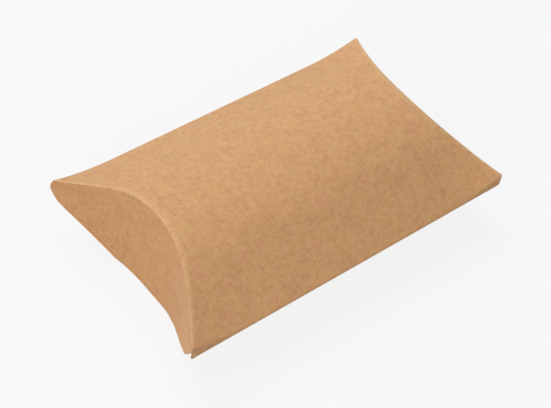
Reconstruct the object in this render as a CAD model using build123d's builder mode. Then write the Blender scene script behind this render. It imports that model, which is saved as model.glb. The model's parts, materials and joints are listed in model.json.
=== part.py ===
from build123d import *
from math import asin, atan2, cos, hypot, radians, sin, tan
import os

# Pillow box folded from one sheet of kraft board.
# Two arched panels meet at a narrow fold along each long side. Each end closes with two
# concave flaps, the outer one hanging from the top panel and the inner one standing on
# the bottom panel. X runs along the box, Y across it, and Z = 0 is the surface it lies on.

# Driving dimensions, in millimetres and degrees
box_length = 146.0            # corner to corner, along X
box_width = 90.0              # fold to fold, along Y
box_height = 38.7             # from the ground to the crown of the top panel
end_inset = 16.1              # how far the middle of an end crease lies in from its corners
board = 0.45                  # thickness of the kraft board
fold_height = 0.9             # height of the side folds at mid-length
rest_width = 8.0              # strip of the bottom panel that lies flat under the box
crown_share = 0.79            # crown radius over that of one full arc across the same width
end_crown_share = 0.93        # the same for the plan of the concave ends

# Flared corners of the top panel
flare_height = 4.0            # how far a top corner stands above the line of the side fold
flare_length = 26.0           # stretch of the side edge that the flare takes to die out
flare_station_shares = (1.0, 0.8, 0.6, 0.4, 0.2, 0.0)

# End flaps
crease_gap = 0.15             # between the end of a panel and the flap that folds from it
tuck_step = 0.75              # how far the bottom creases lie behind the top ones
outer_lean = 4.5              # degrees that an outer flap springs out below its crease
inner_lean = 11.0             # degrees that an inner flap leans into the box
outer_ear_inset = 1.5         # from the outside of a side fold to the side of an outer flap
inner_ear_inset = 3.0         # the same for an inner flap
outer_ear_drop = 2.85         # low corner of an outer flap's ear, below mid-height
inner_ear_rise = 1.0          # high corner of an inner flap's ear, above mid-height
outer_reach = 17.8            # depth of the arc that shapes an outer flap, below its ears
inner_reach = 11.0            # height of the arc that shapes an inner flap, above its ears
foot_clearance = 0.4          # from the ground to the straight thumb cut of an outer flap
inner_thumb_cut = 1.0         # depth of the straight thumb cut of an inner flap

# Glued seam inside the far long side
glue_flap_width = 11.0        # in plan, from the side fold to the free edge
glue_flap_end_gap = 9.0       # from a corner of the box to where the flap starts
glue_flap_taper = 6.0         # how far each end draws in along the free edge
glue_thickness = 0.1
glue_width = 6.0              # in plan
glue_end_gap = 6.0            # from an end of the flap's free edge to the end of the glue

overrun = 3.0                 # how far a cutting shape passes what it cuts

# Worked out from them
half_length = box_length / 2
half_width = box_width / 2
mid_height = box_height / 2
top_edge = mid_height + fold_height / 2
bottom_edge = mid_height - fold_height / 2
corner_height = top_edge + flare_height
rest_half = rest_width / 2
fold_inside = half_width - board
glue_flap_half = half_length - glue_flap_end_gap
free_edge_half = glue_flap_half - glue_flap_taper
glue_half = free_edge_half - glue_end_gap
top_end_shift = -tan(radians(outer_lean)) * (box_height - corner_height)
bottom_end_shift = tan(radians(inner_lean)) * bottom_edge


def flank_angle(span, rise, radius):
    """Slope of the straight flank that runs from an arch's edge into its crown arc."""
    drop = radius - rise
    return asin(radius / hypot(span, drop)) - atan2(drop, span)


def arch_shape(span, rise, share):
    """Crown radius and flank slope of an arch of this half width and rise."""
    radius = share * (span**2 + rise**2) / (2 * rise)
    return radius, flank_angle(span, rise, radius)


def arch_points(span, rise, share, depth, past):
    """Crown, middle of the arc, tangent point and edge of half an arch, depth inside it."""
    radius, angle = arch_shape(span, rise, share)
    centre = rise - radius
    inner = radius - depth
    on_arc = [(inner * sin(turn), centre + inner * cos(turn)) for turn in (0, angle / 2, angle)]
    return on_arc + [(span - depth / sin(angle) + past, -past * tan(angle))]


def draw_arch(place, span, rise, share, depth=0.0, flat=0.0, past=0.0):
    """Draw an arch from edge to edge, flat in its middle and run on past its edges."""
    crown, middle, tangent, edge = arch_points(span, rise, share, depth, past)
    ends = []
    for side in (-1, 1):
        crown_at, middle_at, tangent_at, edge_at = [
            place(side * (flat + across), up) for across, up in (crown, middle, tangent, edge)
        ]
        Line(edge_at, tangent_at)
        ends.append((crown_at, middle_at, tangent_at, edge_at))
    left, right = ends
    if flat:
        ThreePointArc(left[2], left[1], left[0])
        Line(left[0], right[0])
        ThreePointArc(right[0], right[1], right[2])
    else:
        ThreePointArc(left[2], left[0], right[2])
    return left[3], right[3]


def flare(x):
    """Height that the top panel's side edge has gained at this place along the box."""
    near_end = min(abs(x), half_length) - (half_length - flare_length)
    return flare_height * (max(near_end, 0) / flare_length) ** 2


def flare_stations():
    """Places along the box where the top panel's section is drawn, from end to end."""
    start = half_length - flare_length
    right = [half_length + overrun] + [start + share * flare_length for share in flare_station_shares]
    return [-x for x in right] + right[::-1]


def top_arch(x):
    """Base height and rise of the top panel's arch at this place along the box."""
    base = top_edge + flare(x)
    return base, box_height - base


def top_board_section(x):
    """Section of the top panel's board."""
    base, rise = top_arch(x)
    with BuildSketch(Plane.YZ.offset(x)) as section:
        with BuildLine():
            outer = draw_arch(lambda y, z: (y, base + z), half_width, rise, crown_share)
            inner = draw_arch(lambda y, z: (y, base + z), half_width, rise, crown_share, board)
            Line(outer[0], inner[0])
            Line(outer[1], inner[1])
        make_face()
    return section.sketch


def under_top_section(x):
    """All that lies below the top panel's outer surface."""
    base, rise = top_arch(x)
    with BuildSketch(Plane.YZ.offset(x)) as section:
        with BuildLine():
            left, right = draw_arch(lambda y, z: (y, base + z), half_width, rise, crown_share)
            Polyline(left, (-half_width, -overrun), (half_width, -overrun), right)
        make_face()
    return section.sketch


def seam_section(x, upper_depth, lower_depth, near_y, far_y):
    """Section of a layer glued under the far flank of the top panel, between two depths."""
    base, rise = top_arch(x)
    angle = arch_shape(half_width, rise, crown_share)[1]

    def below_flank(y, depth):
        return y, base + (half_width - y) * tan(angle) - depth / cos(angle)

    with BuildSketch(Plane.YZ.offset(x)) as section:
        with BuildLine():
            Polyline(
                below_flank(near_y, upper_depth),
                below_flank(far_y, upper_depth),
                below_flank(far_y, lower_depth),
                below_flank(near_y, lower_depth),
                close=True,
            )
        make_face()
    return section.sketch


def bottom_place(y, z):
    """The bottom panel's arch is drawn upside down from its side edges."""
    return y, bottom_edge - z


def end_plane_arch(side, step, lean_shift):
    """How the plan of a concave end is placed, and its rise, at its corners' own level."""
    corner_x = half_length - step

    def place(y, inward):
        return side * (corner_x - inward), y

    return place, end_inset + lean_shift


def end_cut(side, level, step, lean_shift):
    """Plan of what lies past the end of a panel, at the level of its corners."""
    place, rise = end_plane_arch(side, step, lean_shift)
    far_y = half_width + overrun
    far_out = -end_inset - overrun
    with BuildSketch(Plane.XY.offset(level)) as cut:
        with BuildLine():
            left, right = draw_arch(place, half_width, rise, end_crown_share, past=overrun)
            Polyline(left, place(-far_y, far_out), place(far_y, far_out), right)
        make_face()
    return cut.sketch


def flap_wall(side, level, step, lean_shift):
    """Plan of a flap's board, one crease gap past the end of its panel."""
    place, rise = end_plane_arch(side, step, lean_shift)
    edges = []
    with BuildSketch(Plane.XY.offset(level)) as wall:
        with BuildLine():
            for depth in (crease_gap, crease_gap + board):
                edges.append(
                    draw_arch(place, half_width, rise, end_crown_share, depth, past=overrun)
                )
            inside, outside = edges
            Line(inside[0], outside[0])
            Line(inside[1], outside[1])
        make_face()
    return wall.sketch


def lean_direction(side, lean, down):
    """Way that a flap's board runs from its crease, out on the way down."""
    return (side * tan(radians(lean)), 0, -1) if down else (-side * tan(radians(lean)), 0, 1)


through = box_height + overrun
stations = flare_stations()
ends = {"left": -1, "right": 1}
os.makedirs("parts", exist_ok=True)
pieces = {}

# Top panel, arched across and flared at its corners, with concave ends
with BuildPart() as top_panel:
    loft([top_board_section(x) for x in stations], ruled=True)
    for side in ends.values():
        extrude(
            end_cut(side, corner_height, 0.0, top_end_shift),
            amount=through,
            dir=lean_direction(side, outer_lean, down=True),
            both=True,
            mode=Mode.SUBTRACT,
        )
pieces["top_panel"] = top_panel

# Bottom panel, the same arch upside down, lying on a flat strip
with BuildPart() as bottom_panel:
    with BuildSketch(Plane.YZ):
        with BuildLine():
            arch_span = half_width - rest_half
            outer = draw_arch(bottom_place, arch_span, bottom_edge, crown_share, flat=rest_half)
            inner = draw_arch(bottom_place, arch_span, bottom_edge, crown_share, board, rest_half)
            Line(outer[0], inner[0])
            Line(outer[1], inner[1])
        make_face()
    extrude(amount=half_length, both=True)
    for side in ends.values():
        extrude(
            end_cut(side, bottom_edge, tuck_step, bottom_end_shift),
            amount=through,
            dir=lean_direction(side, inner_lean, down=False),
            both=True,
            mode=Mode.SUBTRACT,
        )
pieces["bottom_panel"] = bottom_panel

# Side folds, narrow at mid-length and opening out towards the flared corners
for name, side in (("near_side_fold", -1), ("far_side_fold", 1)):
    with BuildPart() as side_fold:
        with BuildSketch(Plane.XZ.offset(-side * half_width)):
            with BuildLine():
                rim = [x for x in stations if abs(x) <= half_length]
                Polyline(
                    *[(x, top_edge + flare(x)) for x in rim],
                    (half_length, bottom_edge),
                    (-half_length, bottom_edge),
                    close=True,
                )
            make_face()
        extrude(amount=side * board)
    pieces[name] = side_fold

# Glue flap, folded in from the far side fold and stuck under the top panel's flank
with BuildPart() as glue_flap:
    upper_side = board + glue_thickness
    lower_side = upper_side + board
    flap_edge = fold_inside - glue_flap_width
    loft(
        [seam_section(x, upper_side, lower_side, flap_edge, fold_inside) for x in stations],
        ruled=True,
    )
    with BuildSketch():
        with BuildLine():
            Polyline(
                (-glue_flap_half, fold_inside),
                (-free_edge_half, flap_edge),
                (free_edge_half, flap_edge),
                (glue_flap_half, fold_inside),
                close=True,
            )
        make_face()
    extrude(amount=through, mode=Mode.INTERSECT)
pieces["glue_flap"] = glue_flap

# Line of glue between the glue flap and the top panel
with BuildPart() as glue_line:
    glue_middle = fold_inside - glue_flap_width / 2
    glue_near = glue_middle - glue_width / 2
    glue_far = glue_middle + glue_width / 2
    loft(
        [seam_section(x, board, board + glue_thickness, glue_near, glue_far) for x in stations],
        ruled=True,
    )
    with BuildSketch():
        with Locations((0, glue_middle)):
            Rectangle(2 * glue_half, glue_width)
    extrude(amount=through, mode=Mode.INTERSECT)
pieces["glue_line"] = glue_line

# Outer flaps, hanging from the top panel's end creases
for end_name, side in ends.items():
    with BuildPart() as outer_flap:
        extrude(
            flap_wall(side, corner_height, 0.0, top_end_shift),
            amount=through,
            dir=lean_direction(side, outer_lean, down=True),
            both=True,
        )
        with BuildSketch(Plane.YZ):
            with BuildLine():
                ear = half_width - outer_ear_inset
                ear_height = mid_height - outer_ear_drop
                ThreePointArc((-ear, ear_height), (0, ear_height - outer_reach), (ear, ear_height))
                Polyline((-ear, ear_height), (-ear, through), (ear, through), (ear, ear_height))
            make_face()
            with Locations((0, foot_clearance)):
                Rectangle(
                    box_width, through, align=(Align.CENTER, Align.MAX), mode=Mode.SUBTRACT
                )
        extrude(amount=side * (half_length + overrun), mode=Mode.INTERSECT)
        loft([under_top_section(x) for x in stations], ruled=True, mode=Mode.INTERSECT)
    pieces[end_name + "_outer_flap"] = outer_flap

# Inner flaps, standing on the bottom panel's end creases and leaning into the box
for end_name, side in ends.items():
    with BuildPart() as inner_flap:
        extrude(
            flap_wall(side, bottom_edge, tuck_step, bottom_end_shift),
            amount=through,
            dir=lean_direction(side, inner_lean, down=False),
            both=True,
        )
        with BuildSketch(Plane.YZ):
            with BuildLine():
                ear = half_width - inner_ear_inset
                ear_height = mid_height + inner_ear_rise
                head = ear_height + inner_reach
                ThreePointArc((-ear, ear_height), (0, head), (ear, ear_height))
                Polyline((-ear, ear_height), (-ear, -overrun), (ear, -overrun), (ear, ear_height))
            make_face()
            with Locations((0, head - inner_thumb_cut)):
                Rectangle(
                    box_width, through, align=(Align.CENTER, Align.MIN), mode=Mode.SUBTRACT
                )
        extrude(amount=side * (half_length + overrun), mode=Mode.INTERSECT)
        with BuildSketch(Plane.YZ):
            with BuildLine():
                arch_span = half_width - rest_half
                left, right = draw_arch(
                    bottom_place, arch_span, bottom_edge, crown_share, flat=rest_half
                )
                Polyline(left, (-half_width, through), (half_width, through), right)
            make_face()
        extrude(amount=half_length + overrun, both=True, mode=Mode.INTERSECT)
    pieces[end_name + "_inner_flap"] = inner_flap

for name, piece in pieces.items():
    piece.part.label = name
    export_step(piece.part, f"parts/{name}.step")
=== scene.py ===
"""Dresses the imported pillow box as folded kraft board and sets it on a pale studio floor."""
import json
import math

import bpy
import numpy as np
from bpy.props import FloatProperty, FloatVectorProperty, IntProperty, PointerProperty
from bpy.types import Operator, Panel, PropertyGroup
from mathutils import Matrix, Vector


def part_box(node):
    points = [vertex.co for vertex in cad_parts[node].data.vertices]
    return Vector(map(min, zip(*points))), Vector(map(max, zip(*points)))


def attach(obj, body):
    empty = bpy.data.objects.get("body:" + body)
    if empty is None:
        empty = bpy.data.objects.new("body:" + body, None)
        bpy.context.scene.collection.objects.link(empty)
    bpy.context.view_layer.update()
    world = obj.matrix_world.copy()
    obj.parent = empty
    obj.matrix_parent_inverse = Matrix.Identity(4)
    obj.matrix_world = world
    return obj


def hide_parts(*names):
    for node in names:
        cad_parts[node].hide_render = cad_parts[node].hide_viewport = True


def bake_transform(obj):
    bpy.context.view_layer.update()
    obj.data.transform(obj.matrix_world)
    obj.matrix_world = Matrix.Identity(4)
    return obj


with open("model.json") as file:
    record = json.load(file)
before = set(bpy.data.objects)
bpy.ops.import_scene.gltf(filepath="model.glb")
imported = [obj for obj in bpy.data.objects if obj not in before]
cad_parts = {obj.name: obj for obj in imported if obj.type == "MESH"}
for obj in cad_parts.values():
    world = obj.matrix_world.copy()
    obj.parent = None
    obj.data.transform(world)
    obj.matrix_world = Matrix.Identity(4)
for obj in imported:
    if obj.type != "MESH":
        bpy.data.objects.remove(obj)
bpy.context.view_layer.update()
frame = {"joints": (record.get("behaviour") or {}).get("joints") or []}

bl_info = {
    "name": "Kraft Pillow Box",
    "version": (1, 0, 0),
    "blender": (4, 5, 0),
    "location": "View3D > Sidebar > Pillow Box",
    "description": "Builds the creased kraft board of a pillow box around its packed parts",
    "category": "Object",
}

MM = 0.001

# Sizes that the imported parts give, in metres
top_low, top_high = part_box("top_panel")
_, bottom_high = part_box("bottom_panel")
fold_low, fold_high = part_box("near_side_fold")
seam_low, seam_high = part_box("glue_flap")
glue_low, glue_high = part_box("glue_line")
outer_low, outer_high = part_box("left_outer_flap")
_, inner_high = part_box("left_inner_flap")
crease_at = {joint["name"]: Vector(joint["pos_m"]) for joint in frame["joints"]}

half_length = top_high.x
half_width = top_high.y
crown_height = top_high.z
top_edge = top_low.z
bottom_edge = bottom_high.z
corner_height = fold_high.z
board = fold_high.y - fold_low.y
tuck_step = half_length - bottom_high.x
end_inset = half_length - abs(crease_at["left_outer_crease"].x)
outer_ear = outer_high.y
outer_foot = outer_low.z
inner_ear = inner_high.y
inner_head = inner_high.z

glue_film = 0.1 * MM

ENDS = {"left": -1, "right": 1}
# Shifts between the parts of the sheet's pattern, so that none repeats another's fibres, in metres
INSIDE_SHEET = np.array([0.41, 0.29])
BOTTOM_SHEET = 0.2
SEAM_SHEET = 0.4
# How far a cut edge bulges, as a share of the board, and how far its rims are shaded towards the faces
EDGE_BULGE = 0.12
RIM_SHADE = 0.7


def number(name, description, default):
    """A plain number that a user can change."""
    return FloatProperty(name=name, description=description, default=default)


def fraction(name, description, default):
    """A part of a whole that a user can change."""
    return FloatProperty(name=name, description=description, default=default, subtype="FACTOR")


def size(name, description, default):
    """A size that a user can change."""
    return FloatProperty(name=name, description=description, default=default, unit="LENGTH")


def angle(name, description, default):
    """An angle that a user can change."""
    return FloatProperty(name=name, description=description, default=default, unit="ROTATION")


def colour(name, description, default, most=1.0):
    """A linear colour that a user can change, with parts from 0 to most."""
    return FloatVectorProperty(
        name=name, description=description, default=default, subtype="COLOR", min=0, max=most
    )


class BoxForm(PropertyGroup):
    """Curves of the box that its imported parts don't state outright."""

    crown_share: fraction(
        "Crown share", "Crown radius of a panel over that of one full arc across the same width", 0.79
    )
    left_end_share: fraction("Left end share", "The same for the plan of the concave left end", 0.966)
    right_end_share: fraction("Right end share", "The same for the plan of the concave right end", 0.778)
    corner_setback: size(
        "Corner setback", "How far the hand-folded corners end short of the flat cut ones", 0.5 * MM
    )
    end_deepening: size(
        "End deepening", "How much deeper the ends are pressed in than their hinge lines", 0.45 * MM
    )
    flare_length: size("Flare length", "Stretch of a side edge over which a corner flares up", 26 * MM)
    rest_width: size("Rest width", "Flat strip that the box lies on", 8 * MM)
    outer_lean: angle("Outer lean", "How far an outer flap springs out below its crease", math.radians(6.9))
    inner_lean: angle("Inner lean", "How far an inner flap leans into the box", math.radians(11))
    outer_ear_height: size("Outer ear height", "Low corner of an outer flap's ear", 15.15 * MM)
    outer_reach: size("Outer reach", "Depth of the arc that shapes an outer flap", 17.2 * MM)
    ear_clip_start: size(
        "Ear clip start", "Place across the box from which an outer flap's ear is rounded off", 38.8 * MM
    )
    ear_clip_radius: size(
        "Ear clip radius", "Radius with which the rounding of an outer ear starts", 2.6 * MM
    )
    ear_clip_slope: number(
        "Ear clip slope", "Steepest rise of that rounding, which then runs straight to the ear's side", 0.9
    )
    ear_clip_shift: size(
        "Ear clip shift", "How far the rounding sits towards the far side on the left flap", 2.8 * MM
    )
    inner_ear_height: size("Inner ear height", "High corner of an inner flap's ear", 20.35 * MM)
    seam_taper: size("Seam taper", "How far each end of the glue flap draws in along its free edge", 6 * MM)
    inner_reach: size("Inner reach", "Height of the arc that shapes an inner flap", 11 * MM)


class BoardDetail(PropertyGroup):
    """How the board rolls over its creases and how fine its meshes are."""

    roll_back: size("Roll back", "Where a panel starts to roll over the middle of an end crease", 2.6 * MM)
    roll_back_ear: size("Roll back at ears", "The same at the ears of the flap", 1.4 * MM)
    roll_down: size("Roll down", "Where a flap's board is straight again below its crease", 0.35 * MM)
    fold_back: size("Fold back", "Where a panel starts to roll over a side fold", 0.75 * MM)
    fold_down: size("Fold down", "Where a side fold's strip is straight again", 0.4 * MM)
    edge_ease: size("Edge ease", "Width of the softened rim along a die-cut edge", 0.1 * MM)
    left_blunting: size(
        "Left blunting",
        "How far the top panel's left corners are held back, drawn out below zero",
        -0.3 * MM,
    )
    left_low_blunting: size(
        "Left low blunting",
        "How far the bottom panel's left corners are held back, drawn out below zero",
        -0.8 * MM,
    )
    right_blunting: size("Right blunting", "How far the tips of the right corners are rounded off", 1.3 * MM)
    corner_rounding: fraction(
        "Corner rounding", "Share of the flared strip over which a corner rolls down softly", 0.9
    )
    far_corner_rounding: fraction(
        "Far corner rounding", "The same share for the corners on the far side", 0.35
    )
    wave_height: size("Wave height", "Slight unevenness of the hand-folded panels", 0.09 * MM)
    step: size("Mesh step", "Spacing of the mesh lines over the open board", 1.6 * MM)
    bead_rise: size(
        "Bead rise", "How far the scored bead along an end crease stands proud of its flap", 0.15 * MM
    )
    push_in: size(
        "Push in", "How far the near half of the left outer flap is pushed in at its free edge", 1.7 * MM
    )
    push_place: size("Push place", "Where across the box that flap is pushed in most", -17 * MM)
    push_width: size("Push width", "How far to each side the push fades out", 9.5 * MM)
    ear_bulge: size("Ear bulge", "How far the left outer flap's far ear spreads below its crease", 1.3 * MM)
    bulge_start: size("Bulge start", "Place across the box from which that ear spreads", 36 * MM)
    bulge_depth: size("Bulge depth", "How far below the crease that ear is at its widest", 2.5 * MM)
    bend_start: size(
        "Bend start", "How far inside its crease plane an opening flap starts to bend", 2.6 * MM
    )
    bend_length: size("Bend length", "Stretch over which an opening flap bends", 13 * MM)
    ear_reach: size("Ear reach", "How much wider an outer flap's ear is than the packed one", 0.5 * MM)
    fine_width: size(
        "Fine width", "Stretch at each ear over which the mesh lines are twice as close", 8 * MM
    )
    roll_steps: IntProperty(name="Roll steps", description="Mesh lines around one crease", default=9)


class KraftFinish(PropertyGroup):
    """Colours of the board and of the glue, as linear values."""

    board_colour: colour("Board", "Overall colour of the kraft board", (0.747, 0.412, 0.186))
    blush_colour: colour("Blush", "Pinkish patches of the pulp", (0.759, 0.399, 0.195))
    straw_colour: colour("Straw", "Yellowish patches of the pulp", (0.740, 0.427, 0.179))
    # Pale fibres are the board's own; on creases and fold rolls this colour is partly rubbed board and partly
    # a painted highlight
    pale_colour: colour("Pale fibres", "Colour of pale fibres and of rubbed creases", (0.84, 0.55, 0.30))
    dark_colour: colour("Dark fibres", "Colour of dark fibres and flecks", (0.40, 0.185, 0.07))
    edge_colour: colour("Cut edge", "Colour of the die-cut edges", (0.50, 0.29, 0.15))
    glue_colour: colour("Glue", "Colour of the dried glue line", (0.70, 0.60, 0.38))


class StudioSetup(PropertyGroup):
    """Floor, lamps and camera."""

    floor_colour: colour("Floor", "Colour of the floor", (0.60, 0.60, 0.60))
    floor_lift: fraction("Floor lift", "How far the floor's look is lifted towards plain white", 0.86)
    floor_size: size("Floor size", "Side of the square floor", 6.0)
    sky_level: number("Sky level", "Strength of the even light from all round", 0.23)
    lamp_distance: size("Lamp distance", "From the box to each soft lamp", 1.4)
    lamp_size: size("Lamp size", "Side of each soft lamp", 1.0)
    back_lamp_level: number(
        "Back lamp level", "What a white card turned to the lamp behind the box shows of it", 0.68
    )
    back_lamp_colour: colour(
        "Back lamp colour", "Colour of the lamp behind the box, slightly cool", (0.96, 1.0, 1.05), 2.0
    )
    back_lamp_turn: angle(
        "Back lamp turn", "Which way that lamp stands, from the far side towards the right end", 0.0
    )
    back_lamp_rise: angle("Back lamp rise", "How high that lamp stands above the horizon", math.radians(53))
    end_lamp_level: number(
        "End lamp level", "What a white card turned to the lamp off the left end shows of it", 0.455
    )
    end_lamp_colour: colour(
        "End lamp colour", "Colour of the lamp at the left end, slightly warm", (1.08, 0.99, 0.90), 2.0
    )
    end_lamp_turn: angle(
        "End lamp turn",
        "Which way that lamp stands, from the far side towards the right end",
        math.radians(-115),
    )
    end_lamp_rise: angle("End lamp rise", "How high that lamp stands above the horizon", math.radians(33.6))
    camera_turn: angle(
        "Camera turn",
        "Which way the camera stands, from the near side towards the right end",
        math.radians(-43.293),
    )
    camera_rise: angle("Camera rise", "How high the camera stands above the horizon", math.radians(49.953))
    camera_roll: angle(
        "Camera roll", "How far the camera is turned about its own line of sight", math.radians(8.136)
    )
    camera_distance: size("Camera distance", "From the camera to the place it looks at", 502.014 * MM)
    camera_aim: FloatVectorProperty(
        name="Camera aim",
        description="Place that the camera looks at",
        default=(-7.676 * MM, -6.186 * MM, 19.57 * MM),
        subtype="XYZ",
        unit="LENGTH",
    )
    camera_lens: number("Camera lens", "Focal length on a 36 mm sensor, in millimetres", 88.169)


# Curves of the box


def arch_height(across, span, rise, share):
    """Height of an arch at these distances from its middle: a round crown on straight flanks."""
    across = np.abs(across)
    radius = share * (span**2 + rise**2) / (2 * rise)
    drop = radius - rise
    slope = np.arcsin(radius / np.hypot(span, drop)) - np.arctan2(drop, span)
    crown = np.sqrt(np.maximum(radius**2 - across**2, 0)) - drop
    return np.where(across < radius * np.sin(slope), crown, (span - across) * np.tan(slope))


# Sizes of the long, the short and the crossing waves in hand-folded board
LONG_WAVE = 17 * MM
SHORT_WAVE = 9.5 * MM
CROSS_WAVE = 23 * MM


def waves(x, y, detail):
    """Slight unevenness of board that was folded by hand, none at the side folds."""
    short = np.sin(x / SHORT_WAVE + y / CROSS_WAVE + 2.1)
    lengthwise = np.sin(x / LONG_WAVE + 0.6) + 0.6 * short
    crosswise = np.cos(y / half_width * math.pi / 2)
    return detail.wave_height * lengthwise * crosswise


def arc_drop(y, half_chord, reach):
    """How far an arc through the ears has come away from their level."""
    radius = (half_chord**2 + reach**2) / (2 * reach)
    return np.sqrt(np.maximum(radius**2 - y**2, 0)) - (radius - reach)


def cut_half(ear, reach, left_over):
    """Half the width of a straight thumb cut that takes this much off an arc."""
    radius = (ear**2 + reach**2) / (2 * reach)
    return math.sqrt(radius**2 - (radius - left_over) ** 2)


def spread(start, end, step):
    """Evenly spaced places from start to end, no further apart than the step."""
    count = max(2, int(math.ceil(abs(end - start) / step)) + 1)
    return np.linspace(start, end, count)


def eased(places, ease):
    """The same places with one more just inside each end, for a softened rim."""
    first, last = places[:1], places[-1:]
    return np.concatenate([first, first + ease, places[1:-1], last - ease, last])


def curved(share, start, pull, end):
    """A place on the soft curve from start to end that the place called pull draws to itself."""
    return (1 - share) ** 2 * start + 2 * share * (1 - share) * pull + share**2 * end


def fold_start(detail):
    """Where a panel's flank ends and the rolled side fold begins, across the box."""
    return half_width - detail.fold_back


# Meshes of board


def grid_normals(points, outwards):
    """Unit normals of a grid of points, on the side that the direction outwards is on."""
    along = np.gradient(points, axis=0)
    across = np.gradient(points, axis=1)
    normals = np.cross(along, across)
    normals /= np.maximum(np.linalg.norm(normals, axis=-1, keepdims=True), 1e-12)
    flip = np.sign((normals * outwards).sum(-1, keepdims=True))
    return normals * np.where(flip == 0, 1, flip)


def perimeter(rows, cols):
    """Border places of a grid in order, each with the side that leads on from it."""
    first = [(0, col, "first") for col in range(cols - 1)]
    high = [(row, cols - 1, "high") for row in range(rows - 1)]
    last = [(rows - 1, col, "last") for col in range(cols - 1, 0, -1)]
    low = [(row, 0, "low") for row in range(rows - 1, 0, -1)]
    return first + high + last + low


def run_down(points):
    """Distance over a grid from its first row."""
    steps = np.linalg.norm(np.diff(points, axis=0), axis=-1)
    return np.concatenate([np.zeros((1, points.shape[1])), np.cumsum(steps, axis=0)])


def board_piece(name, points, normals, sheet, wear, cut, slots, depth=board):
    """A sheet of board, this thick, from a grid of places on its outer side.

    The sides named in cut are die-cut edges, and the others join on to the next piece.
    """
    rows, cols = points.shape[:2]
    inner = points - depth * normals
    border = perimeter(rows, cols)
    sides_at = {}
    for position, (row, col, side) in enumerate(border):
        sides_at[(row, col)] = {side, border[position - 1][2]}
    count = rows * cols
    places = list(points.reshape(-1, 3)) + list(inner.reshape(-1, 3))
    sheet_at = list(sheet.reshape(-1, 2)) + list(sheet.reshape(-1, 2) + INSIDE_SHEET)
    rub_and_highlight_at = list(wear.reshape(-1)) + [0.0] * count
    middle, outward_at = {}, {}
    for row, col, _ in border:
        own_cuts = sides_at[(row, col)] & cut
        if not own_cuts:
            continue
        in_row = min(max(row, 1), rows - 2) if own_cuts & {"first", "last"} else row
        in_col = min(max(col, 1), cols - 2) if own_cuts & {"low", "high"} else col
        outward = points[row, col] - points[in_row, in_col]
        outward = outward / max(np.linalg.norm(outward), 1e-9)
        middle[(row, col)] = len(places)
        outward_at[(row, col)] = outward
        places.append((points[row, col] + inner[row, col]) / 2 + outward * depth * EDGE_BULGE)
        sheet_at.append(sheet[row, col])
        rub_and_highlight_at.append(wear[row, col])

    def outer_at(row, col):
        return row * cols + col

    def inner_at(row, col):
        return count + row * cols + col

    def rim_normals(*corners):
        return [tuple(outward_at[place] + share * normals[place]) for place, share in corners]

    faces, kinds, corner_normals = [], [], []
    for row in range(rows - 1):
        for col in range(cols - 1):
            corners = [(row, col), (row, col + 1), (row + 1, col + 1), (row + 1, col)]
            faces.append([outer_at(*corner) for corner in corners])
            corner_normals.append([tuple(normals[corner]) for corner in corners])
            faces.append([inner_at(*corner) for corner in reversed(corners)])
            corner_normals.append([tuple(-normals[corner]) for corner in reversed(corners)])
            kinds += [0, 0]
    for position, (row, col, side) in enumerate(border):
        after = border[(position + 1) % len(border)][:2]
        here = (row, col)
        if side in cut:
            faces.append([outer_at(*after), outer_at(*here), middle[here], middle[after]])
            corner_normals.append(rim_normals((after, RIM_SHADE), (here, RIM_SHADE), (here, 0), (after, 0)))
            faces.append([middle[after], middle[here], inner_at(*here), inner_at(*after)])
            corner_normals.append(rim_normals((after, 0), (here, 0), (here, -RIM_SHADE), (after, -RIM_SHADE)))
            kinds += [1, 1]
        else:
            face = [outer_at(*after), outer_at(*here)]
            face += [middle[here]] if here in middle else []
            face += [inner_at(*here), inner_at(*after)]
            face += [middle[after]] if after in middle else []
            faces.append(face)
            corner_normals.append([(0.0, 0.0, 0.0)] * len(face))
            kinds.append(1)

    lead = np.cross(points[0, 1] - points[0, 0], points[1, 0] - points[0, 0])
    if np.dot(lead, normals[0, 0]) < 0:
        faces = [face[::-1] for face in faces]
        corner_normals = [face[::-1] for face in corner_normals]
    mesh = bpy.data.meshes.new(name)
    mesh.from_pydata([tuple(place) for place in places], [], faces)
    for slot in slots:
        mesh.materials.append(slot)
    mesh.polygons.foreach_set("material_index", kinds)
    mesh.polygons.foreach_set("use_smooth", [True] * len(faces))
    layer = mesh.uv_layers.new(name="sheet")
    corners = np.zeros(len(mesh.loops), np.int32)
    mesh.loops.foreach_get("vertex_index", corners)
    layer.uv.foreach_set("vector", np.array(sheet_at, np.float32)[corners].ravel())
    # How far the board is lightened at creases and fold rolls: partly rubbed board, partly a painted
    # highlight
    attribute = mesh.attributes.new("wear", "FLOAT", "POINT")
    attribute.data.foreach_set("value", np.array(rub_and_highlight_at, np.float32))
    mesh.update()
    unit = [tuple(Vector(normal).normalized()) for face in corner_normals for normal in face]
    mesh.normals_split_custom_set(unit)
    piece = bpy.data.objects.new(name, mesh)
    bpy.context.scene.collection.objects.link(piece)
    return piece


# How many places a panel's section is measured at
SECTION_PLACES = 721
# How far up the bead of an end crease lifts for each part that it stands out
BEAD_LIFT = 0.35
# Places over the roll of an end crease, and how far the board is lightened there: partly rubbed board, partly
# a painted highlight where the roll turns to the light
CREASE_RUB_AND_HIGHLIGHT = ((0.0, 0.2, 0.8, 0.95), (0, 1, 1, 0))


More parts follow.
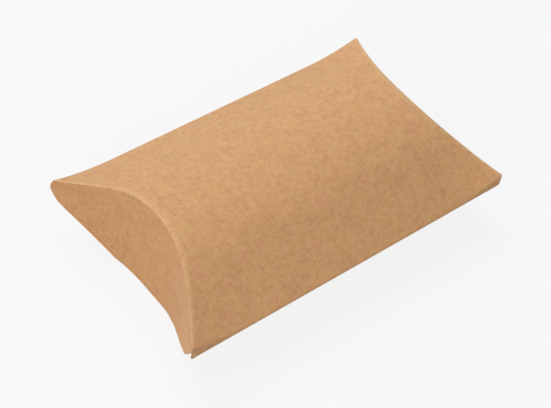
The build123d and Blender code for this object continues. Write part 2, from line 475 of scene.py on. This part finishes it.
class Half:
    """The upper or lower half of the box, a panel with a flap at each end.

    Each half says which way is up for it, and has a height, a wall and an outline of its own.
    """

    def __init__(self):
        self.form = bpy.context.scene.pillow_form
        self.detail = bpy.context.scene.pillow_board

    def places(self, x, y):
        """Places on the panel's outer side."""
        return np.stack([x, y, self.height(x, y)], -1)

    def normals(self, x, y, reach=0.02 * MM):
        """Unit normals of the panel's outer side."""
        slope_x = (self.height(x + reach, y) - self.height(x - reach, y)) / (2 * reach)
        slope_y = (self.height(x, y + reach) - self.height(x, y - reach)) / (2 * reach)
        normals = np.stack([-slope_x, -slope_y, np.ones_like(slope_x)], -1) * self.up
        return normals / np.linalg.norm(normals, axis=-1, keepdims=True)

    def inside(self, x, y, depth):
        """Places at a depth inside the panel, with the normals there."""
        normals = self.normals(x, y)
        return self.places(x, y) - depth * normals, normals

    def end_plan(self, side):
        """Where an end's corners stand along the box, its depth at mid-width and its crown share."""
        form = self.form
        corner = half_length - form.corner_setback
        depth = end_inset + form.end_deepening - form.corner_setback
        return corner, depth, form.left_end_share if side < 0 else form.right_end_share

    def crease_x(self, side, y, rounds=12):
        """Where the panel's outer side meets the outer side of a flap, closer with each round."""
        x = side * (half_length - end_inset * np.cos(y / half_width * math.pi / 2))
        for _ in range(rounds):
            x = self.wall(side, y, self.height(x, y))
        return x

    def roll_back(self, y):
        """How far from a crease the panel starts to roll over, most at mid-width."""
        share = np.clip(np.abs(y) / self.ear, 0, 1) ** 2
        return self.detail.roll_back + (self.detail.roll_back_ear - self.detail.roll_back) * share

    def pattern(self, y):
        """Distance round the panel's section, for the flat sheet's pattern."""
        across = np.linspace(-half_width, half_width, SECTION_PLACES)
        steps = np.hypot(np.diff(across), np.diff(self.height(np.zeros_like(across), across)))
        run = np.concatenate([[0], np.cumsum(steps)])
        return np.interp(y, across, run - run[len(run) // 2]) + self.sheet_shift

    def flap_columns(self):
        """Places across the box where a flap has mesh lines."""
        detail, ear = self.detail, self.ear
        inner = spread(0, self.straight, detail.step)
        outer = spread(self.straight, ear - detail.fine_width, detail.step)
        fine = spread(ear - detail.fine_width, ear, detail.step / 2)
        half = np.concatenate([inner, outer[1:], fine[1:-1], [ear - detail.edge_ease, ear]])
        return np.concatenate([-half[:0:-1], half])

    def panel_columns(self):
        """Places across the box where the panel has mesh lines, its flaps' own among them."""
        tip = self.ear + (fold_start(self.detail) - self.ear) * np.array([0.4, 1.0])
        return np.concatenate([-tip[::-1], self.flap_columns(), tip])

    def panel_end(self, side, y):
        """Where the panel's mesh ends: at the roll of its crease, or at the cut edge by its corners."""
        at_crease = np.abs(self.crease_x(side, y))
        past_ear = np.abs(y) > self.ear + 0.01 * MM
        held_back = np.where(past_ear, self.corner_trim(side, y), self.roll_back(y))
        return side * (at_crease - held_back)

    def corner_trim(self, side, y):
        """How far the panel's cut corner is held back, or drawn out where this is below zero."""
        share = np.clip((np.abs(y) - self.ear) / (half_width - self.ear), 0, 1)
        blunting = self.left_blunting if side < 0 else self.detail.right_blunting
        return self.detail.edge_ease + blunting * share**2

    def panel(self, name):
        """The panel from roll to roll, as a grid along and across the box."""
        columns = self.panel_columns()
        left, right = self.panel_end(-1, columns), self.panel_end(1, columns)
        shares = np.linspace(0, 1, int(math.ceil(2 * half_length / self.detail.step)))
        x = left[None, :] + (right - left)[None, :] * shares[:, None]
        y = np.broadcast_to(columns[None, :], x.shape)
        points, normals = self.places(x, y), self.normals(x, y)
        sheet = np.stack([x, self.pattern(y)], -1)
        return board_piece(name, points, normals, sheet, np.zeros(x.shape), set(), board_slots())

    def flap(self, name, side):
        """A flap with the rolled crease above it, as a grid down the flap and across the box."""
        detail, up, lean = self.detail, self.up, self.lean
        # Only the left outer flap is pushed in and spread by hand
        hand = 1.0 if up > 0 and side < 0 else 0.0
        columns = self.flap_columns()
        x_crease = self.crease_x(side, columns)
        crease = self.places(x_crease, columns)
        x_start = x_crease - side * self.roll_back(columns)
        start = self.places(x_start, columns)
        way = up * np.array([side * math.sin(lean), 0.0, -math.cos(lean)])
        straight_end = crease + way * detail.roll_down
        proud = crease + np.array([side, 0.0, up * BEAD_LIFT]) * detail.bead_rise
        towards_ear = np.clip((columns - detail.bulge_start) / (self.ear - detail.bulge_start), 0, 1)
        bulge = hand * detail.ear_bulge * towards_ear**2
        length = (crease[:, 2] - self.outline(side, columns + bulge)) * up / math.cos(lean)
        roll = np.linspace(0, 1, detail.roll_steps)
        rows = [curved(share, start, proud, straight_end) for share in roll]
        depth_count = int(math.ceil(length.max() / detail.step))
        for share in np.linspace(0, 1, depth_count)[1:-1]:
            depth = detail.roll_down + (length - detail.edge_ease - detail.roll_down) * share
            rows.append(crease + way * depth[:, None])
        rows.append(crease + way * (length - detail.edge_ease)[:, None])
        rows.append(crease + way * length[:, None])
        points = np.stack(rows)
        down = np.clip(np.abs(points[..., 2] - crease[:, 2]) / length, 0, 1)
        fade = np.exp(-(((points[..., 1] - detail.push_place) / detail.push_width) ** 2))
        points[..., 0] -= side * hand * detail.push_in * fade * down**1.5
        below = np.clip((crease[:, 2] - points[..., 2]) / detail.bulge_depth, 0, 1)
        widened = bulge * below**2 * (3 - 2 * below)
        points[..., 1] += widened
        points[..., 0] += widened * np.gradient(x_crease, columns)[-1]
        normals = grid_normals(points, np.array([side, 0.0, up]))
        normals[0] = self.normals(x_start, columns)
        run = run_down(points)
        across = np.broadcast_to(self.pattern(columns), run.shape)
        sheet = np.stack([x_start[None, :] + side * run, across], -1)
        # The roll of the crease is lightened towards the pale colour: partly rubbed board, partly a painted
        # highlight
        wear = np.zeros(run.shape)
        wear[: detail.roll_steps] = np.interp(roll, *CREASE_RUB_AND_HIGHLIGHT)[:, None]
        return board_piece(name, points, normals, sheet, wear, {"last", "low", "high"}, board_slots())


class TopHalf(Half):
    """The top panel, from which the outer flaps fold down."""

    up = 1
    sheet_shift = 0.0

    def __init__(self):
        super().__init__()
        form = self.form
        self.ear = outer_ear + self.detail.ear_reach
        self.lean = form.outer_lean
        self.left_blunting = self.detail.left_blunting
        lowest = form.outer_ear_height - form.outer_reach
        self.straight = cut_half(outer_ear, form.outer_reach, outer_foot - lowest)

    def height(self, x, y):
        """Outer side of the panel, whose side edges flare up to the corners."""
        form = self.form
        near_end = np.maximum(np.abs(x) - (half_length - form.flare_length), 0)
        base = top_edge + (corner_height - top_edge) * (near_end / form.flare_length) ** 2
        arch = arch_height(y, half_width, crown_height - base, form.crown_share)
        return base + arch + waves(x, y, self.detail)

    def wall(self, side, y, z):
        """Where the outer side of an outer flap's board stands along the box."""
        lean = math.tan(self.lean)
        corner, depth, share = self.end_plan(side)
        inward = arch_height(y, half_width, depth - lean * (crown_height - corner_height), share)
        return side * (corner - inward + lean * (corner_height - z))

    def outline(self, side, y):
        """Lower outline of an outer flap: an arc cut straight for the thumb, with rounded ears."""
        form = self.form
        shift = form.ear_clip_shift if side < 0 else 0.0
        arc = form.outer_ear_height - arc_drop(y, outer_ear, form.outer_reach)
        past = np.maximum(np.abs(y) - form.ear_clip_start - shift * np.sign(y), 0)
        rounded = np.minimum(past, form.ear_clip_slope * form.ear_clip_radius)
        clip = rounded**2 / (2 * form.ear_clip_radius) + form.ear_clip_slope * (past - rounded)
        return np.maximum(arc, outer_foot) + clip


class BottomHalf(Half):
    """The bottom panel, from which the inner flaps fold up."""

    up = -1
    sheet_shift = BOTTOM_SHEET

    def __init__(self):
        super().__init__()
        form = self.form
        self.ear = inner_ear
        self.lean = form.inner_lean
        self.left_blunting = self.detail.left_low_blunting
        highest = form.inner_ear_height + form.inner_reach
        self.straight = cut_half(inner_ear, form.inner_reach, highest - inner_head)

    def height(self, x, y):
        """Outer side of the panel, which lies on a flat strip."""
        rest = self.form.rest_width / 2
        beyond = np.maximum(np.abs(y) - rest, 0)
        arch = arch_height(beyond, half_width - rest, bottom_edge, self.form.crown_share)
        return bottom_edge - arch + 0 * x

    def wall(self, side, y, z):
        """Where the outer side of an inner flap's board stands along the box."""
        lean = math.tan(self.lean)
        corner, depth, share = self.end_plan(side)
        inward = arch_height(y, half_width, depth + lean * bottom_edge, share)
        return side * (corner - tuck_step - inward - lean * (z - bottom_edge))

    def outline(self, side, y):
        """Upper outline of an inner flap, the same at both ends: an arc cut straight for the thumb."""
        arc = self.form.inner_ear_height + arc_drop(y, inner_ear, self.form.inner_reach)
        return np.minimum(arc, inner_head)


# Shares of a side fold's mesh at which its straight strip starts and ends, and how far its rolls are
# lightened: partly rubbed board, partly a painted highlight
STRIP_START = 0.35
STRIP_END = 0.65
FOLD_RUB_AND_HIGHLIGHT = 0.6


def side_fold(name, side):
    """The rolled strip that joins the panels along one long side, as a grid round and along it."""
    top, bottom = TopHalf(), BottomHalf()
    detail = top.detail
    flank = fold_start(detail)
    rounding = detail.far_corner_rounding if side > 0 else detail.corner_rounding
    shares = np.linspace(0, 1, int(math.ceil(2 * half_length / detail.step)))
    outwards, inwards = np.array([flank, half_width]), np.array([half_width, flank])
    ends = [
        np.concatenate([top.panel_end(end, outwards), bottom.panel_end(end, inwards)]) for end in (-1, 1)
    ]

    def section(x):
        """Key places of the section at each x: flank, crease and straight strip, top to bottom."""
        y = side * np.array([flank, half_width, half_width, half_width, half_width, flank])
        edge, inner = np.full_like(x, side * half_width), np.full_like(x, side * flank)
        high, low = top.height(x, edge), bottom.height(x, edge)
        flared = high - low - (top_edge - bottom_edge)
        strip = [high - detail.fold_down - rounding * flared, low + detail.fold_down]
        return y, [top.height(x, inner), high, *strip, low, bottom.height(x, inner)]

    rows = []
    bend = np.linspace(0, 1, detail.roll_steps)
    knots = (0.0, STRIP_START, STRIP_END, 1.0)
    for part, steps in enumerate((bend, (0.25, 0.5, 0.75), bend)):
        for share in steps:
            at = knots[part] + (knots[part + 1] - knots[part]) * share
            left, right = np.interp(at, knots, ends[0]), np.interp(at, knots, ends[1])
            x = left + (right - left) * shares
            y, z = section(x)
            if part == 1:
                across, height = y[2], (1 - share) * z[2] + share * z[3]
            else:
                keys = slice(0, 3) if part == 0 else slice(3, 6)
                across, height = curved(share, *y[keys]), curved(share, *z[keys])
            rows.append(np.stack([x, np.full_like(x, across), height], -1))
    points = np.stack(rows)
    normals = grid_normals(points, np.array([0.0, side, 0.0]))
    normals[0] = top.normals(points[0, :, 0], points[0, :, 1])
    normals[-1] = bottom.normals(points[-1, :, 0], points[-1, :, 1])
    run = run_down(points)
    sheet = np.stack([points[..., 0], side * (top.pattern(flank) + run)], -1)
    # The rolls of the fold are lightened towards the pale colour: partly rubbed board, partly a painted
    # highlight
    wear = np.zeros(run.shape)
    wear[2 : detail.roll_steps] = FOLD_RUB_AND_HIGHLIGHT
    wear[-detail.roll_steps : -2] = FOLD_RUB_AND_HIGHLIGHT
    return board_piece(name, points, normals, sheet, wear, {"low", "high"}, board_slots())


# Materials

# Swells per millimetre, detail and roughness of each noise
CLOUDS = (0.12, 2.0, 0.5)
TINT = (0.15, 2.0, 0.5)
MOTTLE = (0.42, 4.0, 0.62)
GRAIN = (2.6, 3.0, 0.6)
EDGE_LAYERS = (3.5, 3.0, 0.6)
EDGE_SPECKS = (9.0, 2.0, 0.5)
GLUE_POOLS = (0.6, 3.0, 0.5)
# Tints of the pulp in order: noise, level where each starts, level where it is full, strength, colour
PULP_TINTS = (
    ("tint", 0.50, 0.68, 1.0, "blush_colour"),
    ("tint", 0.50, 0.32, 1.0, "straw_colour"),
    ("mottle", 0.42, 0.80, 0.40, "pale_colour"),
    ("mottle", 0.55, 0.20, 0.36, "dark_colour"),
    ("clouds", 0.40, 0.72, 0.14, "dark_colour"),
    ("grain", 0.35, 0.75, 0.52, "dark_colour"),
)
# Fibres: length and width in millimetres, levels where they start and are full, angles and seeds
PALE_FIBRES = (2.2, 0.16, 0.63, 0.74, ((12, 3.1), (74, 17.3), (131, 41.9)))
DARK_FIBRES = (1.5, 0.13, 0.66, 0.76, ((38, 7.7), (103, 23.9), (160, 53.3)))
# Strength of the fibres and flecks over the pulp, and their colours
STROKE_TINTS = {"pale": (0.46, "pale_colour"), "dark": (0.26, "dark_colour"), "fleck": (0.30, "dark_colour")}
# How much each layer stands out of the board
RELIEF = {"mottle": 1.6, "grain": 0.6, "pale": 0.5, "dark": -0.3}


def wire(tree, made, values):
    """Links or sets inputs of a node, each given by its name or number."""
    for socket, value in values.items():
        if isinstance(value, bpy.types.NodeSocket):
            tree.links.new(value, made.inputs[socket])
        else:
            made.inputs[socket].default_value = value


def node(tree, kind, settings, values):
    """Adds a shader node with these settings and inputs and returns it."""
    made = tree.nodes.new(kind)
    for setting, value in settings.items():
        setattr(made, setting, value)
    wire(tree, made, values)
    return made


def maths(tree, operation, first, second):
    """A sum, product or other step on two numbers."""
    return node(tree, "ShaderNodeMath", {"operation": operation}, {0: first, 1: second}).outputs[0]


def total(tree, values):
    """All of these numbers added up."""
    summed = values[0]
    for value in values[1:]:
        summed = maths(tree, "ADD", summed, value)
    return summed


def vectors(tree, operation, values):
    """A step on vectors."""
    return node(tree, "ShaderNodeVectorMath", {"operation": operation}, values).outputs[0]


def in_mm(tree, place):
    """A place in millimetres."""
    return vectors(tree, "SCALE", {0: place, "Scale": 1 / MM})


def opaque(linear):
    """A linear colour with the fourth number that a shader's socket wants."""
    return (*linear, 1.0)


def mixed(tree, share, first, second):
    """A colour mixed by a share with a second one from the settings."""
    values = {0: share, 6: first, 7: opaque(second)}
    return node(tree, "ShaderNodeMix", {"data_type": "RGBA"}, values).outputs[2]


def banded(tree, value, low, high, start=0.0, end=1.0):
    """A number read off a smooth step between two levels."""
    values = {"Value": value, "From Min": low, "From Max": high, "To Min": start, "To Max": end}
    return node(tree, "ShaderNodeMapRange", {"interpolation_type": "SMOOTHSTEP"}, values).outputs[0]


def noise(tree, at, scale, detail, roughness):
    """Soft noise, with its level and its colour as outputs."""
    values = {"Vector": at, "Scale": scale, "Detail": detail, "Roughness": roughness}
    return node(tree, "ShaderNodeTexNoise", {"noise_dimensions": "3D"}, values).outputs


def turned(tree, at, turn, stretch):
    """Coordinates turned about the sheet's normal, then stretched."""
    values = {"Vector": at, "Rotation": (0, 0, turn), "Scale": stretch}
    return node(tree, "ShaderNodeMapping", {"vector_type": "TEXTURE"}, values).outputs[0]


def bumped(tree, strength, distance, height):
    """A surface that this height stands out of."""
    values = {"Strength": strength, "Distance": distance, "Height": height}
    return node(tree, "ShaderNodeBump", {}, values).outputs[0]


def fibres(tree, at, length, width, low, high, layers):
    """Thin strokes in a few directions, each a fibre."""
    strokes = []
    for degrees, seed in layers:
        shifted = vectors(tree, "ADD", {0: at, 1: (seed, seed * 1.7, seed)})
        stretched = turned(tree, shifted, math.radians(degrees), (length, width, 1.0))
        strokes.append(banded(tree, noise(tree, stretched, 1.0, 1.0, 0.4)[0], low, high))
    return total(tree, strokes)


def flecks(tree, at):
    """Small dark flecks, in a few of the cells that the board is divided into."""
    values = {"Vector": turned(tree, at, 0.5, (1.0, 0.55, 1.0)), "Scale": 0.42}
    cells = node(tree, "ShaderNodeTexVoronoi", {"voronoi_dimensions": "3D", "feature": "F1"}, values)
    picked = node(tree, "ShaderNodeSeparateColor", {}, {0: cells.outputs["Color"]})
    chosen = banded(tree, picked.outputs[0], 0.80, 0.84)
    return maths(tree, "MULTIPLY", banded(tree, cells.outputs["Distance"], 0.16, 0.06), chosen)


def new_material(name):
    """A new material, with its tree and its shader."""
    material = bpy.data.materials.new(name)
    material.use_nodes = True
    return material, material.node_tree, material.node_tree.nodes["Principled BSDF"]


def kraft_face(finish):
    """Uncoated kraft board: cloudy pulp, pale and dark fibres, flecks, and creases lightened partly as rubbed
    board and partly as a painted highlight.
    """
    material, tree, shader = new_material("kraft_board_face")
    flat = in_mm(tree, node(tree, "ShaderNodeUVMap", {"uv_map": "sheet"}, {}).outputs[0])
    wander = noise(tree, flat, 0.35, 1.0, 0.5)[1]
    at = vectors(tree, "MULTIPLY_ADD", {0: wander, 1: (1.6, 1.6, 0.0), 2: flat})
    layers = {
        "clouds": noise(tree, flat, *CLOUDS)[0],
        "tint": noise(tree, turned(tree, flat, 0.8, (1.0, 0.8, 1.0)), *TINT)[0],
        "mottle": noise(tree, flat, *MOTTLE)[0],
        "grain": noise(tree, flat, *GRAIN)[0],
        "pale": fibres(tree, at, *PALE_FIBRES),
        "dark": fibres(tree, at, *DARK_FIBRES),
        "fleck": flecks(tree, at),
    }
    soft = opaque(finish.board_colour)
    for layer, low, high, strength, tint in PULP_TINTS:
        share = banded(tree, layers[layer], low, high, 0.0, strength)
        soft = mixed(tree, share, soft, getattr(finish, tint))
    for layer, (strength, tint) in STROKE_TINTS.items():
        share = maths(tree, "MULTIPLY", layers[layer], strength)
        soft = mixed(tree, share, soft, getattr(finish, tint))
    # Creases and fold rolls are mixed towards the pale colour: partly rubbed board, partly a painted
    # highlight
    wear = node(tree, "ShaderNodeAttribute", {"attribute_name": "wear"}, {}).outputs["Fac"]
    lightened = maths(tree, "MULTIPLY", wear, banded(tree, layers["mottle"], 0.25, 0.65, 0.12, 0.32))
    height = total(tree, [maths(tree, "MULTIPLY", layers[layer], rise) for layer, rise in RELIEF.items()])
    wire(tree, shader, {
        "Base Color": mixed(tree, lightened, soft, finish.pale_colour),
        "Roughness": banded(tree, layers["grain"], 0.3, 0.7, 0.74, 0.90),
        "Specular IOR Level": 0.3,
        "Sheen Weight": 0.05,
        "Sheen Roughness": 0.6,
        "Normal": bumped(tree, 0.5, 0.05 * MM, height),
    })
    return material


def kraft_edge(finish):
    """Die-cut edge of the board: layered pulp that runs along the cut."""
    material, tree, shader = new_material("kraft_cut_edge")
    at = in_mm(tree, node(tree, "ShaderNodeTexCoord", {}, {}).outputs["Object"])
    layers = noise(tree, at, *EDGE_LAYERS)[0]
    specks = noise(tree, at, *EDGE_SPECKS)[0]
    layered = banded(tree, layers, 0.35, 0.70, 0.0, 0.5)
    soft = mixed(tree, layered, opaque(finish.edge_colour), finish.pale_colour)
    wire(tree, shader, {
        "Base Color": mixed(tree, banded(tree, specks, 0.50, 0.75, 0.0, 0.5), soft, finish.dark_colour),
        "Roughness": banded(tree, specks, 0.3, 0.7, 0.82, 0.95),
        "Specular IOR Level": 0.25,
        "Normal": bumped(tree, 0.6, 0.05 * MM, layers),
    })
    return material


def dried_glue(finish):
    """Clear glue that has dried to a slightly yellow, uneven film."""
    material, tree, shader = new_material("dried_glue")
    at = in_mm(tree, node(tree, "ShaderNodeTexCoord", {}, {}).outputs["Object"])
    pools = noise(tree, at, *GLUE_POOLS)[0]
    thin = banded(tree, pools, 0.35, 0.7, 0.0, 0.5)
    wire(tree, shader, {
        "Base Color": mixed(tree, thin, opaque(finish.glue_colour), finish.board_colour),
        "Roughness": banded(tree, pools, 0.3, 0.7, 0.22, 0.45),
        "Coat Weight": 0.3,
        "Normal": bumped(tree, 0.4, 0.1 * MM, pools),
    })
    return material


def finish_of(name, make):
    """The material of this name, made when it is first needed."""
    return bpy.data.materials.get(name) or make(bpy.context.scene.pillow_finish)


def board_slots():
    """Face and cut edge of the board, in the order that board_piece uses."""
    return [finish_of("kraft_board_face", kraft_face), finish_of("kraft_cut_edge", kraft_edge)]


# Operators, one for each group of like pieces


def bend_at_crease(piece):
    """Bakes the flap's placement into its mesh; the flap is not attached to a body."""
    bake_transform(piece)


class PILLOWBOX_OT_top_panel(Operator):
    """Build the arched top panel"""

    bl_idname = "pillow_box.top_panel"
    bl_label = "Top Panel"

    def execute(self, context):
        piece = TopHalf().panel("top_panel_board")
        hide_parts("top_panel")
        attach(piece, "sleeve")
        return {"FINISHED"}


class PILLOWBOX_OT_bottom_panel(Operator):
    """Build the arched bottom panel"""

    bl_idname = "pillow_box.bottom_panel"
    bl_label = "Bottom Panel"

    def execute(self, context):
        piece = BottomHalf().panel("bottom_panel_board")
        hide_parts("bottom_panel")
        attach(piece, "sleeve")
        return {"FINISHED"}


class PILLOWBOX_OT_side_folds(Operator):
    """Build the folds along the long sides"""

    bl_idname = "pillow_box.side_folds"
    bl_label = "Side Folds"

    def execute(self, context):
        for name, side in (("near_side_fold", -1), ("far_side_fold", 1)):
            piece = side_fold(name + "_board", side)
            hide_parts(name)
            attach(piece, "sleeve")
        return {"FINISHED"}


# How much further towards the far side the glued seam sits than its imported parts
SEAM_SHIFT = 0.25 * MM
# Depth, size and phase of the ripples in the sides of the glue line
GLUE_RIPPLES = ((0.25 * MM, 3.1 * MM, 0.0), (0.2 * MM, 1.3 * MM, 1.0))
# Rim of the glue line as a share of its half width, and the square of the share kept at its tips
GLUE_RIM = 0.04
GLUE_TIP = 0.04


class PILLOWBOX_OT_glue_flap(Operator):
    """Build the glue flap inside the far side"""

    bl_idname = "pillow_box.glue_flap"
    bl_label = "Glue Flap"

    def execute(self, context):
        top = TopHalf()
        form, detail = top.form, top.detail
        width = seam_high.y - seam_low.y
        across = spread(seam_high.y + SEAM_SHIFT, seam_low.y + SEAM_SHIFT, detail.step)
        across = np.concatenate([across[:-1], [across[-1] + detail.edge_ease, across[-1]]])
        reach = seam_high.x - form.seam_taper * np.clip((seam_high.y - across) / width, 0, 1)
        shares = eased(spread(-1, 1, detail.step / seam_high.x), detail.edge_ease / seam_high.x)
        x = shares[:, None] * reach[None, :]
        y = np.broadcast_to(across[None, :], x.shape)
        points, normals = top.inside(x, y, board + glue_film)
        sheet = np.stack([x, y + SEAM_SHEET], -1)
        wear, cut = np.zeros(x.shape), {"first", "last", "high"}
        piece = board_piece("glue_flap_board", points, normals, sheet, wear, cut, board_slots())
        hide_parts("glue_flap")
        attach(piece, "sleeve")
        return {"FINISHED"}


class PILLOWBOX_OT_glue_line(Operator):
    """Build the dried line of glue on the glue flap"""

    bl_idname = "pillow_box.glue_line"
    bl_label = "Glue Line"

    def execute(self, context):
        top = TopHalf()
        detail = top.detail
        along = eased(spread(glue_low.x, glue_high.x, detail.step), detail.edge_ease)
        middle = (glue_low.y + glue_high.y) / 2 + SEAM_SHIFT
        half = (glue_high.y - glue_low.y) / 2
        shares = eased(np.linspace(-1, 1, 7), GLUE_RIM)
        ripple = sum(deep * np.sin(along / long + phase) for deep, long, phase in GLUE_RIPPLES)
        rounding = np.sqrt(np.clip((glue_high.x - np.abs(along)) / half, GLUE_TIP, 1))
        y = middle + shares[None, :] * (half + ripple[:, None]) * rounding[:, None]
        x = np.broadcast_to(along[:, None], y.shape)
        points, normals = top.inside(x, y, board)
        sheet = np.stack([x, y], -1)
        wear, cut = np.zeros(x.shape), {"first", "last", "low", "high"}
        glue = [finish_of("dried_glue", dried_glue)] * 2
        piece = board_piece("glue_line_film", points, normals, sheet, wear, cut, glue, glue_film)
        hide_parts("glue_line")
        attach(piece, "sleeve")
        return {"FINISHED"}


class PILLOWBOX_OT_outer_flaps(Operator):
    """Build the outer end flaps"""

    bl_idname = "pillow_box.outer_flaps"
    bl_label = "Outer Flaps"

    def execute(self, context):
        top = TopHalf()
        for end, side in ENDS.items():
            piece = top.flap(end + "_outer_flap_board", side)
            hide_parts(end + "_outer_flap")
            bend_at_crease(piece)
        return {"FINISHED"}


class PILLOWBOX_OT_inner_flaps(Operator):
    """Build the inner end flaps"""

    bl_idname = "pillow_box.inner_flaps"
    bl_label = "Inner Flaps"

    def execute(self, context):
        bottom = BottomHalf()
        for end, side in ENDS.items():
            piece = bottom.flap(end + "_inner_flap_board", side)
            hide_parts(end + "_inner_flap")
            bend_at_crease(piece)
        return {"FINISHED"}


def facing(turn, rise):
    """Unit vector towards a place this far round from the far side and above the horizon."""
    return Vector((math.sin(turn) * math.cos(rise), math.cos(turn) * math.cos(rise), math.sin(rise)))


WHITE = (1.0, 1.0, 1.0, 1.0)


def background_seen(tree):
    """1 on the rays that show a background: the camera's own, reflected ones and those through glass."""
    rays = node(tree, "ShaderNodeLightPath", {}, {}).outputs
    seen = maths(tree, "MAXIMUM", rays["Is Camera Ray"], rays["Is Glossy Ray"])
    return maths(tree, "MAXIMUM", seen, rays["Is Transmission Ray"])


def whiten(tree, share, shown, kind, output):
    """Lifts what is shown towards plain white by a share."""
    white = node(tree, kind, {}, {"Color": WHITE, "Strength": 1.0})
    values = {0: share, 1: shown.outputs[0], 2: white.outputs[0]}
    lifted = node(tree, "ShaderNodeMixShader", {}, values)
    tree.links.new(lifted.outputs[0], tree.nodes[output].inputs[0])


class PILLOWBOX_OT_stage(Operator):
    """Set up the floor, the lamps and the camera"""

    bl_idname = "pillow_box.stage"
    bl_label = "Stage"

    def execute(self, context):
        scene = context.scene
        studio = scene.pillow_studio
        scene.view_settings.view_transform = "Standard"
        self.lay_floor(scene, studio)
        self.light_sky(scene, studio)
        self.hang_lamp(scene, studio, "back_lamp")
        self.hang_lamp(scene, studio, "end_lamp")
        self.place_camera(scene, studio)
        return {"FINISHED"}

    def lay_floor(self, scene, studio):
        """Adds a matt floor that keeps the box's shadow and looks nearly white."""
        half = studio.floor_size / 2
        mesh = bpy.data.meshes.new("floor")
        corners = [(-half, -half, 0), (half, -half, 0), (half, half, 0), (-half, half, 0)]
        mesh.from_pydata(corners, [], [(0, 1, 2, 3)])
        material, tree, shader = new_material("studio_floor")
        matt = {"Roughness": 1.0, "Specular IOR Level": 0.0}
        wire(tree, shader, {"Base Color": opaque(studio.floor_colour), **matt})
        lift = maths(tree, "MULTIPLY", background_seen(tree), studio.floor_lift)
        whiten(tree, lift, shader, "ShaderNodeEmission", "Material Output")
        mesh.materials.append(material)
        floor = bpy.data.objects.new("floor", mesh)
        scene.collection.objects.link(floor)

    def light_sky(self, scene, studio):
        """Adds an even light from all round, which is seen as plain white."""
        world = bpy.data.worlds.new("studio_sky")
        world.use_nodes = True
        tree = world.node_tree
        sky = tree.nodes["Background"]
        wire(tree, sky, {"Color": WHITE, "Strength": studio.sky_level})
        whiten(tree, background_seen(tree), sky, "ShaderNodeBackground", "World Output")
        scene.world = world

    def hang_lamp(self, scene, studio, name):
        """Adds a soft square lamp that has this name in the settings."""
        away = facing(getattr(studio, name + "_turn"), getattr(studio, name + "_rise"))
        lamp = bpy.data.lights.new(name, "AREA")
        lamp.color = getattr(studio, name + "_colour")
        lamp.shape = "SQUARE"
        lamp.size = studio.lamp_size
        lamp.energy = getattr(studio, name + "_level") * math.pi**2 * studio.lamp_distance**2
        hung = bpy.data.objects.new(name, lamp)
        hung.location = away * studio.lamp_distance
        hung.rotation_euler = (-away).to_track_quat("-Z", "Y").to_euler()
        scene.collection.objects.link(hung)

    def place_camera(self, scene, studio):
        """Adds the camera that sees the box as the photograph does."""
        back = facing(math.pi - studio.camera_turn, studio.camera_rise)
        right = (-back).cross(Vector((0, 0, 1))).normalized()
        up = right.cross(-back)
        turned_right = right * math.cos(studio.camera_roll) + up * math.sin(studio.camera_roll)
        turned_up = up * math.cos(studio.camera_roll) - right * math.sin(studio.camera_roll)
        lens = bpy.data.cameras.new("photo_camera")
        lens.lens = studio.camera_lens
        lens.sensor_width = 36.0
        lens.clip_start = 0.01
        lens.clip_end = 50.0
        camera = bpy.data.objects.new("photo_camera", lens)
        place = Matrix((turned_right, turned_up, back)).transposed().to_4x4()
        place.translation = Vector(studio.camera_aim) + back * studio.camera_distance
        camera.matrix_world = place
        scene.collection.objects.link(camera)
        scene.camera = camera


class PILLOWBOX_PT_parts(Panel):
    """Lists the pieces of the box and their sizes"""

    bl_idname = "PILLOWBOX_PT_parts"
    bl_label = "Pillow Box"
    bl_space_type = "VIEW_3D"
    bl_region_type = "UI"
    bl_category = "Pillow Box"

    def draw(self, context):
        layout = self.layout
        for operator in OPERATORS:
            layout.operator(operator.bl_idname)
        for name in SETTINGS:
            group = getattr(context.scene, name)
            box = layout.box()
            for field in group.__annotations__:
                box.prop(group, field)


OPERATORS = (
    PILLOWBOX_OT_top_panel,
    PILLOWBOX_OT_bottom_panel,
    PILLOWBOX_OT_side_folds,
    PILLOWBOX_OT_glue_flap,
    PILLOWBOX_OT_glue_line,
    PILLOWBOX_OT_outer_flaps,
    PILLOWBOX_OT_inner_flaps,
    PILLOWBOX_OT_stage,
)
SETTINGS = {
    "pillow_form": BoxForm,
    "pillow_board": BoardDetail,
    "pillow_finish": KraftFinish,
    "pillow_studio": StudioSetup,
}


def register():
    for group in SETTINGS.values():
        bpy.utils.register_class(group)
    for name, group in SETTINGS.items():
        setattr(bpy.types.Scene, name, PointerProperty(type=group))
    for operator in OPERATORS:
        bpy.utils.register_class(operator)
    bpy.utils.register_class(PILLOWBOX_PT_parts)


def unregister():
    bpy.utils.unregister_class(PILLOWBOX_PT_parts)
    for operator in reversed(OPERATORS):
        bpy.utils.unregister_class(operator)
    for name in SETTINGS:
        delattr(bpy.types.Scene, name)
    for group in reversed(list(SETTINGS.values())):
        bpy.utils.unregister_class(group)


def main():
    register()
    bpy.ops.pillow_box.top_panel()
    bpy.ops.pillow_box.bottom_panel()
    bpy.ops.pillow_box.side_folds()
    bpy.ops.pillow_box.glue_flap()
    bpy.ops.pillow_box.glue_line()
    bpy.ops.pillow_box.outer_flaps()
    bpy.ops.pillow_box.inner_flaps()
    bpy.ops.pillow_box.stage()


if __name__ == "__main__":
    main()
